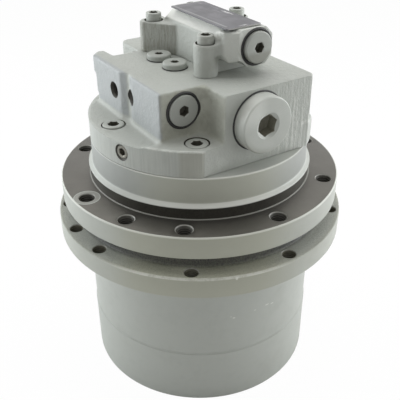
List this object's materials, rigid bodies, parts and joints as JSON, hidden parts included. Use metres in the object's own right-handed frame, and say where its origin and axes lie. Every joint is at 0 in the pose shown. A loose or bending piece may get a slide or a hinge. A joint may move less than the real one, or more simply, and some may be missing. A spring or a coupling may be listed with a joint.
{
  "type": "excavator final drive",
  "caption": "Track travel motor with planetary hub drive: round drum with sprocket flange, threaded frame flange and a square valve head with plugs and ports.",
  "frame": {"origin": "on the drive's axis, at the foot of the drum", "axes": "+Z along the axis from the drum to the valve head, -Y towards the large front plug, -X towards the two small ports"},
  "size_m": [0.2252, 0.2252, 0.2853],
  "materials": {
    "cast_paint": "grey paint over rough casting",
    "grey_paint": "satin grey paint",
    "plug_paint": "satin grey paint over turned steel",
    "bright_steel": "turned or ground",
    "gear_steel": "hobbed and hardened",
    "seal_iron": "ground",
    "bronze": "machined",
    "plate_aluminium": "dark anodised, bare of text"
  },
  "bodies": {
    "case": {"spindle_housing": "cast_paint", "bearing_inner_upper": "bright_steel", "bearing_inner_lower": "bright_steel", "bearing_nut": "gear_steel", "seal_ring_case": "seal_iron", "swash_plate": "gear_steel", "valve_plate": "bronze", "rear_cover": "grey_paint", "cover_screw_1": "plug_paint", "cover_screw_2": "plug_paint", "cover_screw_3": "plug_paint", "cover_screw_4": "plug_paint", "cover_screw_5": "plug_paint", "balance_plug_front": "plug_paint", "balance_plug_back": "plug_paint", "side_plug": "plug_paint", "gauge_plug_1": "plug_paint", "gauge_plug_2": "plug_paint", "rim_plug": "plug_paint", "valve_block": "grey_paint", "valve_bolt_1": "plug_paint", "valve_bolt_2": "plug_paint", "valve_bolt_3": "plug_paint", "speed_plug_front": "plug_paint", "speed_plug_back": "plug_paint", "name_plate": "plate_aluminium"},
    "hub": {"hub_housing": "cast_paint", "end_cover": "cast_paint", "cover_bolt_1": "bright_steel", "cover_bolt_2": "bright_steel", "cover_bolt_3": "bright_steel", "cover_bolt_4": "bright_steel", "cover_bolt_5": "bright_steel", "cover_bolt_6": "bright_steel", "fill_plug": "bright_steel", "drain_plug": "bright_steel", "ring_gear": "gear_steel", "bearing_outer_upper": "bright_steel", "bearing_outer_lower": "bright_steel", "seal_ring_hub": "seal_iron"},
    "motor_shaft": {"drive_shaft": "bright_steel", "sun_1": "gear_steel", "cylinder_block": "bronze", "piston_1": "bright_steel", "piston_2": "bright_steel", "piston_3": "bright_steel", "piston_4": "bright_steel", "piston_5": "bright_steel", "piston_6": "bright_steel", "piston_7": "bright_steel"},
    "carrier": {"carrier_1": "gear_steel", "sun_2": "gear_steel"},
    "planet_1a": {"planet_1_1": "gear_steel"},
    "planet_1b": {"planet_1_2": "gear_steel"},
    "planet_1c": {"planet_1_3": "gear_steel"},
    "planet_2a": {"planet_2_1": "gear_steel"},
    "planet_2b": {"planet_2_2": "gear_steel"},
    "planet_2c": {"planet_2_3": "gear_steel"},
    "balance_spool": {"balance_spool": "bright_steel"},
    "speed_spool": {"speed_spool": "bright_steel"}
  },
  "joints": [
    {"name": "hub_spin", "type": "hinge", "parent": "case", "child": "hub", "pos_m": [0, 0, 0.1], "axis": [0, 0, 1], "continuous": true},
    {"name": "shaft_spin", "type": "hinge", "parent": "case", "child": "motor_shaft", "pos_m": [0, 0, 0.15], "axis": [0, 0, 1], "continuous": true},
    {"name": "carrier_spin", "type": "hinge", "parent": "case", "child": "carrier", "pos_m": [0, 0, 0.034], "axis": [0, 0, 1], "continuous": true},
    {"name": "planet_1a_spin", "type": "hinge", "parent": "carrier", "child": "planet_1a", "pos_m": [0.0405, 0, 0.022], "axis": [0, 0, 1], "continuous": true},
    {"name": "planet_1b_spin", "type": "hinge", "parent": "carrier", "child": "planet_1b", "pos_m": [-0.02025, 0.03507, 0.022], "axis": [0, 0, 1], "continuous": true},
    {"name": "planet_1c_spin", "type": "hinge", "parent": "carrier", "child": "planet_1c", "pos_m": [-0.02025, -0.03507, 0.022], "axis": [0, 0, 1], "continuous": true},
    {"name": "planet_2a_spin", "type": "hinge", "parent": "case", "child": "planet_2a", "pos_m": [0.0405, 0, 0.053], "axis": [0, 0, 1], "continuous": true},
    {"name": "planet_2b_spin", "type": "hinge", "parent": "case", "child": "planet_2b", "pos_m": [-0.02025, 0.03507, 0.053], "axis": [0, 0, 1], "continuous": true},
    {"name": "planet_2c_spin", "type": "hinge", "parent": "case", "child": "planet_2c", "pos_m": [-0.02025, -0.03507, 0.053], "axis": [0, 0, 1], "continuous": true},
    {"name": "balance_spool_slide", "type": "slide", "parent": "case", "child": "balance_spool", "axis": [0, 1, 0], "range_m": [-0.008, 0.008], "stiffness_N_per_m": 2000},
    {"name": "speed_spool_slide", "type": "slide", "parent": "case", "child": "speed_spool", "axis": [0, 1, 0], "range_m": [0, 0.01], "stiffness_N_per_m": 1500}
  ],
  "couplings": [
    {"joint": "shaft_spin", "follows": "hub_spin", "ratio": -35},
    {"joint": "carrier_spin", "follows": "hub_spin", "ratio": -5},
    {"joint": "planet_1a_spin", "follows": "hub_spin", "ratio": 15},
    {"joint": "planet_1b_spin", "follows": "hub_spin", "ratio": 15},
    {"joint": "planet_1c_spin", "follows": "hub_spin", "ratio": 15},
    {"joint": "planet_2a_spin", "follows": "hub_spin", "ratio": 2.5},
    {"joint": "planet_2b_spin", "follows": "hub_spin", "ratio": 2.5},
    {"joint": "planet_2c_spin", "follows": "hub_spin", "ratio": 2.5}
  ]
}
